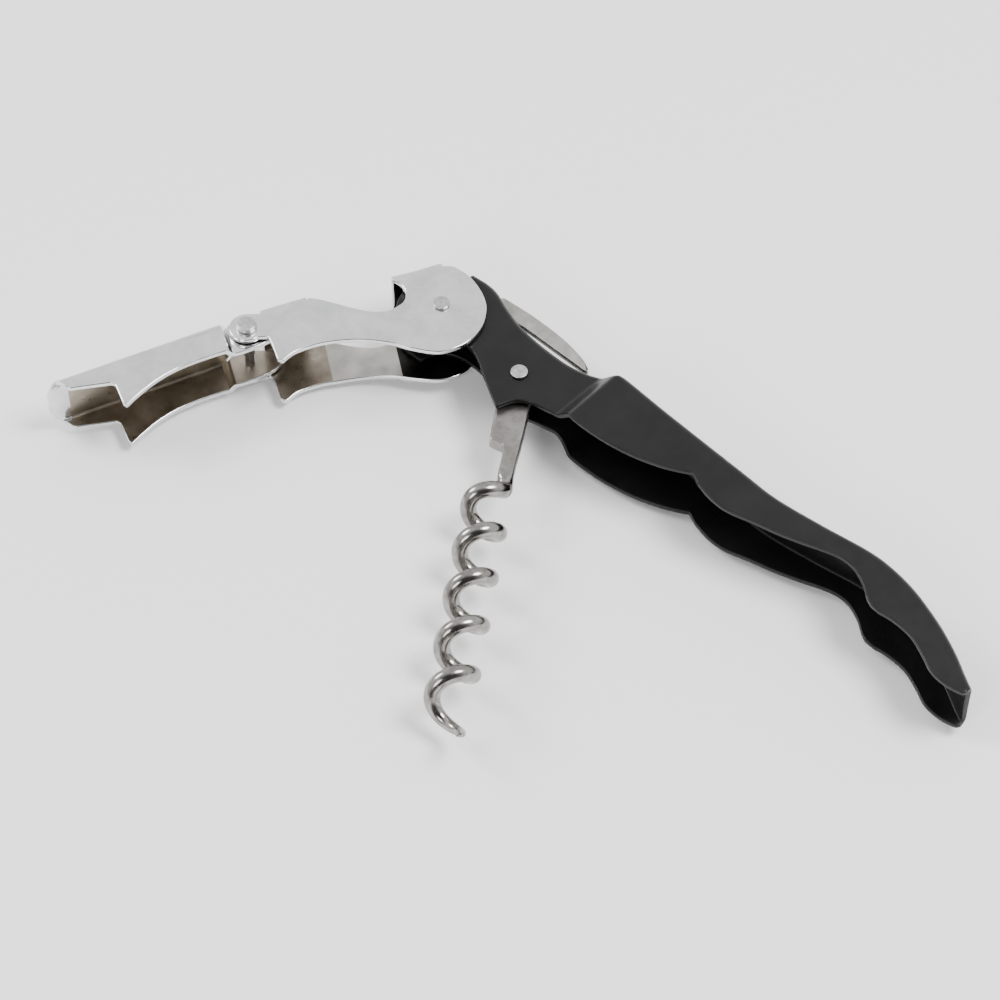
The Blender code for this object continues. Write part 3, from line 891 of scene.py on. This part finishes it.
@dataclass
class LowerLever(PressedChannel):
    """The second lever: lugs inside the first one's, a step tooth, and a rounded tongue."""

    body_half_width: float = 5.12
    lug_half_width: float = 4.15
    back_start: float = 3.0
    cheek_end: float = 30.1
    tongue_reach: float = 32.6
    tongue_radius: float = 6.9

    def half_width(self, x: float) -> float:
        """Return the outside half width: lugs, then the body."""
        spread = smooth_step(x, 2.9, 4.0)
        return self.lug_half_width + (self.body_half_width - self.lug_half_width) * spread

    def back(self, x: float) -> float:
        """Return where the outside of the back is."""
        return -3.15 + 0.151 * x

    def back_spans(self) -> list[list[float]]:
        """Return the back's stations, to the end of the tongue."""
        start = [self.back_start + 0.15 * i for i in range(9)]
        body = [5.2 + 1.2 * i for i in range(21)]
        reach = self.tongue_reach - 0.15 - self.cheek_end
        tongue = [self.cheek_end + reach * (1 - (1 - i / 7) ** 1.4) for i in range(8)]
        return [start + [x for x in body if x < self.cheek_end - 0.4] + tongue]

    def section(self, x: float) -> list[Point]:
        """Return the section, drawn in to the tongue's round end."""
        points = super().section(x)
        if x <= self.cheek_end:
            return points
        half = self.half_width(x)
        along = x - (self.tongue_reach - self.tongue_radius)
        tongue = math.sqrt(max(self.tongue_radius ** 2 - along ** 2, 0.0))
        flat = half - self.bend_radius
        even = smooth_step(x, self.cheek_end, self.tongue_reach - 1.2)
        narrowed = []
        for row, (z, _) in enumerate(points):
            spaced = half * (1.0 - 2.0 * row / (len(points) - 1))
            new_z = (z + (spaced - z) * even) * min(tongue, half) / half
            beyond = min(max(abs(new_z) - flat, 0.0), self.bend_radius)
            narrowed.append((new_z, self.bend_radius - math.sqrt(self.bend_radius ** 2 - beyond ** 2)))
        return narrowed

    def cheek_stations(self) -> list[float]:
        """Return the stations in the joggle behind the lugs."""
        return [2.85 + 0.15 * i for i in range(11)]

    def cheek_outline(self, side: int) -> list[Point]:
        """Return the cheek: lug, top edge, tooth, chamfer, fold."""
        lug_tail = curve_through([(-5.5, 0.35), (-4.5, 1.75), (-2.9, 2.7), (-0.6, 3.35), (2.0, 3.75),
                                  (5.0, 3.75), (9.6, 4.4), (12.9, 5.2), (16.1, 6.55), (19.2, 8.45),
                                  (20.9, 9.7)], 5)
        tooth = [(21.25, 9.95), (21.75, 9.3), (22.1, 5.5), (22.6, 4.85), (28.9, 4.15), (29.4, 3.8)]
        fold = [self.fold_edge(x) for x in reversed(self.back_spans()[0]) if x <= self.cheek_end]
        lug_back = curve_through([(2.7, -2.1), (1.6, -2.5), (0.0, -2.6), (-2.3, -2.15), (-4.2, -1.25),
                                  (-5.45, -0.1)], 5)
        free = rounded([fold[-1], *lug_back, *lug_tail, *tooth, fold[0]])
        return free[1:-1] + fold


    def vary(self, obj: bpy.types.Object) -> None:
        """Plate the tongue brightly on both sides."""
        for face in obj.data.polygons:
            if face.center.x > self.cheek_end - 0.8:
                face.material_index = 0


# ---- worm and knife ------------------------------------------------------------------------
@dataclass
class Worm:
    """One wire: an eye and a flat shank with a rim hook, then a right-handed spiral to a point."""

    axis_y: float = -1.53
    radius: float = 2.65
    wire: float = 1.28
    pitch: float = 8.39
    pitch_growth: float = 0.086
    first_turn: float = 25.07
    turns: float = 4.61
    stretch: float = 4.2
    stretch_start: float = 3.93
    taper: float = 0.62
    half_thickness: float = 1.15
    shank_end: float = 18.6
    lead_line: float = 0.62
    sides: int = 28

    def spiral(self, turn: float) -> Vector:
        """Return the wire's centre; turn is counted from the first lowest Y."""
        angle = 2 * math.pi * turn
        x = (self.first_turn + self.pitch * turn + self.pitch_growth * turn * turn
             + self.stretch * max(turn - self.stretch_start, 0.0) ** 2)
        return Vector((x, self.axis_y - self.radius * math.cos(angle), -self.radius * math.sin(angle)))

    def lead(self, turn: float) -> Vector:
        """Return the wire's centre where it leaves the shank and joins the spiral."""
        share = smooth_step(turn, -0.66, -0.10)
        straight = Vector((self.first_turn + self.pitch * turn, self.lead_line, 0.0))
        return straight.lerp(self.spiral(turn), share)

    def shank_ring(self, s: float) -> list[Vector]:
        """Return one section of the shank, square to its length."""
        left = value_along([(-2.75, 0.0), (-2.4, -1.35), (-1.4, -2.37), (0.0, -2.75), (5.6, -2.85),
                            (11.8, -2.85), (12.35, -2.8), (12.75, -2.0), (13.05, -1.1), (13.5, -0.75),
                            (15.8, -0.52), (18.0, -0.62), (20.0, -0.68)])(s)
        right = value_along([(-2.75, 0.0), (-2.4, 1.35), (-1.4, 2.37), (0.0, 2.6), (3.0, 2.5), (6.2, 2.35),
                             (10.0, 2.2), (13.2, 2.02), (16.4, 1.82), (18.4, 1.80), (20.0, 1.88)])(s)
        roundness = smooth_step(s, 17.0, 20.0)
        power = 9.0 + (2.0 - 9.0) * roundness
        height = self.half_thickness + (self.wire - self.half_thickness) * roundness
        ring = []
        for i in range(self.sides):
            angle = 2 * math.pi * i / self.sides
            c, n = math.cos(angle), math.sin(angle)
            across = math.copysign(abs(c) ** (2 / power), c)
            up = math.copysign(abs(n) ** (2 / power), n)
            ring.append(Vector((s, (left + right) / 2 + across * (right - left) / 2, up * height)))
        return ring

    def wire_ring(self, turn: float, path: Callable[[float], Vector]) -> list[Vector]:
        """Return one round section of the wire."""
        centre = path(turn)
        along = (path(turn + 0.002) - path(turn - 0.002)).normalized()
        remaining = min(max((self.turns - turn) / self.taper, 0.0), 1.0)
        radius = 0.06 + (self.wire - 0.06) * remaining ** 0.6
        away = Vector((centre.x, self.axis_y, 0.0)) - centre
        blend = smooth_step(turn, -0.62, -0.25)
        across = Vector((0.0, 1.0, 0.0)).lerp(away.normalized(), blend)
        if across.length < 0.3:
            across = Vector((0.0, 0.7, -0.7))
        up = along.cross(across).normalized()
        across = up.cross(along).normalized()
        return [centre + radius * (math.cos(a) * across + math.sin(a) * up)
                for a in (2 * math.pi * i / self.sides for i in range(self.sides))]

    def rings(self) -> list[list[Vector]]:
        """Return every section from the eye to the point."""
        eye = [-2.75 + 0.01, -2.7, -2.55, -2.3, -2.0, -1.6, -1.1, -0.5]
        shank = [0.5 + 0.75 * i for i in range(15)] + [11.6 + 0.14 * i for i in range(17)]
        shank += [14.2 + 0.4 * i for i in range(14)]
        sections = [self.shank_ring(s) for s in eye + shank]
        start = (19.6 - self.first_turn) / self.pitch
        steps = 330
        for i in range(steps + 1):
            turn = start + (self.turns - start) * i / steps
            path = self.lead if turn < -0.1 else self.spiral
            sections.append(self.wire_ring(turn, path))
        return sections

    def build(self, finish: bpy.types.Material, shank: bpy.types.Material) -> bpy.types.Object:
        """Build the worm, with its own finish on the shank."""
        sections = self.rings()
        middles = [sum(ring, Vector()) / len(ring) for ring in (sections[0], sections[-1])]
        sections = [[middles[0]] * self.sides] + sections + [[middles[1]] * self.sides]

        def place(column: int, row: int) -> Point3:
            """Return the place of one crossing."""
            return tuple(sections[column][row % self.sides])

        obj = shaped_grid("worm_wire", len(sections) - 1, self.sides, place)
        in_edit_mode(obj, merge_doubles, face_outwards)
        obj.data.materials.append(finish)
        obj.data.materials.append(shank)
        for face in obj.data.polygons:
            face.material_index = 1 if face.center.x < self.shank_end else 0
        settle(obj, LAYOUT.matrix(LAYOUT.worm_pivot, LAYOUT.worm_angle), Body.WORM, Slot.WORM, finish,
               smooth_angle=50.0)
        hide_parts("worm")
        return obj


@dataclass
class FoilKnife:
    """The foil knife: a thin blade with ground bevels along its edge and back."""

    half_thickness: float = 0.6
    rim: float = 0.22

    def outline(self) -> list[Point]:
        """Return the tang and blade."""
        tang = arc((0.0, 0.0), 3.1, 100, 320, 26)
        edge = curve_through([(4.3, 0.2), (5.4, 3.0), (6.9, 5.6), (8.6, 7.2), (10.6, 7.6)])
        edge += [(14.0, 7.58), (18.0, 7.52), (23.4, 7.45)]
        back = curve_through([(24.25, 7.75), (23.6, 8.35), (22.0, 9.05), (19.0, 9.75), (15.3, 10.15),
                              (11.0, 10.28), (7.5, 10.15), (4.5, 9.95)])
        return rounded(tang + edge + back + [(4.0, 9.7), (3.1, 7.5), (1.0, 4.6)], 0.3)

    def build(self, finish: bpy.types.Material) -> bpy.types.Object:
        """Build the knife."""
        obj = plate("knife_blade", self.outline())
        for vertex in obj.data.vertices:
            vertex.co.z = -self.half_thickness
        apply_modifier(obj, "thickness", 'SOLIDIFY', thickness=2 * self.half_thickness, offset=1.0)
        middle = sum(vertex.co.z for vertex in obj.data.vertices) / len(obj.data.vertices)
        for vertex in obj.data.vertices:
            vertex.co.z -= middle
        apply_modifier(obj, "rims", 'BEVEL', width=self.rim, segments=2, limit_method='ANGLE',
                       angle_limit=math.radians(55.0), use_clamp_overlap=False)
        in_edit_mode(obj, face_outwards)
        settle(obj, LAYOUT.matrix((0.0, 0.0)), Body.KNIFE, Slot.BLADE, finish, smooth_angle=28.0)
        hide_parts("foil_knife")
        return obj


# ---- rivets ------------------------------------------------------------------------------
@dataclass
class Rivet:
    """A rivet with two peened heads.

    Its shank runs straight through the pieces, which have no holes here; the heads hide that.
    """

    name: str
    node: str
    pivot: Point
    body: Body
    seat: float
    head_radius: float
    head_height: float
    shank: float = 0.95
    dome: float = 0.12
    step: bool = False
    sides: int = 56

    def profile(self) -> list[Point]:
        """Return (radius, z) points from the bottom to the top."""
        edge = 0.34 * self.head_height
        head = [(self.shank, self.seat), (self.head_radius - 0.06, self.seat),
                (self.head_radius, self.seat + 0.06),
                (self.head_radius, self.seat + self.head_height - edge - self.dome)]
        head += [(self.head_radius - edge + x, self.seat + self.head_height - edge - self.dome + y)
                 for x, y in arc((0.0, 0.0), edge, 15, 75, 4)]
        rise = self.seat + self.head_height - self.dome
        head += [(self.head_radius * k, rise + self.dome * (1 - k * k)) for k in (0.62, 0.42, 0.2, 0.0)]
        lower = [(radius, -z) for radius, z in reversed(head)]
        if self.step:
            lower[-1] = (0.8, lower[-1][1])
            return lower + [(0.8, -0.95), (0.86, -0.88), (self.shank, -0.78)] + head
        return lower + head

    def build(self, finish: bpy.types.Material) -> bpy.types.Object:
        """Build the rivet."""
        profile = self.profile()

        def place(column: int, row: int) -> Point3:
            """Return the place of one crossing."""
            radius, z = profile[column]
            angle = 2 * math.pi * (row % self.sides) / self.sides
            return (radius * math.cos(angle), radius * math.sin(angle), z)

        obj = shaped_grid(self.name, len(profile) - 1, self.sides, place)
        in_edit_mode(obj, merge_doubles, face_outwards)
        settle(obj, LAYOUT.matrix(self.pivot), self.body, Slot.RIVET, finish, smooth_angle=50.0)
        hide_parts(self.node)
        return obj


# ---- studio -----------------------------------------------------------------------------
@dataclass
class Studio:
    """Pale floor, soft lights and the camera."""

    target: Point3 = (-0.00856, -0.02185, 0.0053)
    away: Point3 = (0.687, -0.727, 0.0)
    elevation: float = 52.0
    distance: float = 0.4859
    lens: float = 115.776
    lights: tuple[tuple[str, Point3, float, float], ...] = (
        ("key_light", (0.28, 0.20, 0.60), 0.30, 5.0),
        ("side_light", (-0.55, -0.20, 0.45), 0.30, 3.0),
        ("front_light", (0.10, -0.55, 0.35), 0.25, 1.4),
    )
    room_bright: float = 1.25
    room_dark: float = 0.10
    dark_wall_drop: float = 22.0
    dark_wall_edge: Point = (0.45, 0.85)

    def camera(self) -> None:
        """Make the camera."""
        rise = math.radians(self.elevation)
        flat = Vector(self.away).normalized() * math.cos(rise)
        back = Vector((flat.x, flat.y, math.sin(rise)))
        data = bpy.data.cameras.new("camera")
        data.lens = self.lens
        data.sensor_width = 36.0
        data.clip_start, data.clip_end = 0.01, 20.0
        obj = bpy.data.objects.new("camera", data)
        bpy.context.scene.collection.objects.link(obj)
        obj.location = Vector(self.target) + back * self.distance
        obj.rotation_euler = (-back).to_track_quat('-Z', 'Y').to_euler()
        bpy.context.scene.camera = obj

    def floor(self) -> None:
        """Lay the floor just under the tool."""
        deselect_all()
        bpy.ops.mesh.primitive_plane_add(size=6.0, location=(0.0, 0.0, CAD_BOX[0].z - 0.0003))
        obj = bpy.context.object
        obj.name = "floor"
        obj.data.materials.append(PaleFloor().make())

    def light(self) -> None:
        """Hang the soft lights."""
        for name, place, size, power in self.lights:
            data = bpy.data.lights.new(name, 'AREA')
            data.shape = 'DISK'
            data.size = size
            data.energy = power
            obj = bpy.data.objects.new(name, data)
            obj.location = place
            aim = Vector(place) - Vector(self.target)
            obj.rotation_euler = aim.to_track_quat('Z', 'Y').to_euler()
            bpy.context.scene.collection.objects.link(obj)
    def room(self) -> None:
        """Light the room: a bright far wall and ceiling, and a dark wall behind the viewer."""
        world = bpy.data.worlds.new("room")
        world.use_nodes = True
        tree = world.node_tree
        rise = math.radians(self.elevation - self.dark_wall_drop)
        flat = Vector(self.away).normalized() * math.cos(rise)
        coords = tree.nodes.new("ShaderNodeTexCoord")
        facing = tree.nodes.new("ShaderNodeVectorMath")
        facing.operation = 'DOT_PRODUCT'
        facing.inputs[1].default_value = (flat.x, flat.y, math.sin(rise))
        tree.links.new(coords.outputs["Generated"], facing.inputs[0])
        level = tree.nodes.new("ShaderNodeMapRange")
        level.inputs["From Min"].default_value = self.dark_wall_edge[0]
        level.inputs["From Max"].default_value = self.dark_wall_edge[1]
        level.inputs["To Min"].default_value = self.room_bright
        level.inputs["To Max"].default_value = self.room_dark
        tree.links.new(facing.outputs["Value"], level.inputs["Value"])
        room = tree.nodes["Background"]
        room.inputs["Color"].default_value = (1.0, 1.0, 1.0, 1.0)
        tree.links.new(level.outputs["Result"], room.inputs["Strength"])
        bpy.context.scene.world = world

    def build(self) -> None:
        """Build the whole studio."""
        self.camera()
        self.floor()
        self.light()
        self.room()


def dress(nodes: Sequence[str], material: bpy.types.Material) -> None:
    """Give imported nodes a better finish."""
    for name in nodes:
        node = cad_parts[name]
        node.data.materials.clear()
        node.data.materials.append(material)
        LOG.info("%s: dressed", name)


def main() -> None:
    """Build every piece in order and log each one's face count."""
    logging.basicConfig(level=logging.INFO, format="%(name)s: %(message)s")
    paint = GlossPaint().make()
    # Painted shade for the levers' insides.
    dark = PAINTED_SHADE_PLATING.make()
    peened = PEENED_STEEL.make()

    Handle("handle_shell", -1, paint).build(
        LAYOUT.matrix((0.0, 0.0)), Body.HANDLE, Slot.PAINT, paint, "handle")
    # The upper lever's inside: rougher plating with painted shade, painted shade under the step, and a painted
    # reflection of the neck.
    UpperLever("upper_lever_shell", 1, DULL_PLATING_PAINTED_SHADE.make(), painted_shade_inside=dark,
               painted_neck_reflection=PAINTED_NECK_REFLECTION_PLATING.make()).build(
        LAYOUT.matrix((0.0, 0.0), LAYOUT.upper_angle), Body.FIRST_LEVER, Slot.PLATING,
        bright_plating(LAYOUT.upper_angle).make(), "upper_lever")
    # The lower lever's whole inside gets the painted shade, except its tongue.
    LowerLever("lower_lever_shell", 1, dark).build(
        LAYOUT.matrix(LAYOUT.hinge(), LAYOUT.lower_angle), Body.SECOND_LEVER, Slot.PLATING,
        bright_plating(LAYOUT.lower_angle).make(), "lower_lever")
    Worm().build(POLISHED_WIRE.make(), SATIN_SHANK.make())
    FoilKnife().build(SATIN_BLADE.make())
    Rivet("lever_rivet_pin", "lever_rivet", (0.0, 0.0), Body.HANDLE, 3.95, 1.32, 0.42,
          dome=0.04).build(peened)
    Rivet("worm_rivet_pin", "worm_rivet", LAYOUT.worm_pivot, Body.HANDLE, 2.7, 1.36, 0.45,
          dome=0.05).build(peened)
    Rivet("hinge_rivet_pin", "hinge_rivet", LAYOUT.hinge(), Body.FIRST_LEVER, 5.4, 1.62, 0.85,
          shank=0.97, dome=0.1, step=True).build(peened)
    dress(("knife_washer_top", "knife_washer_bottom", "worm_washer_top", "worm_washer_bottom"), peened)
    Studio().build()


if __name__ == "__main__":
    main()
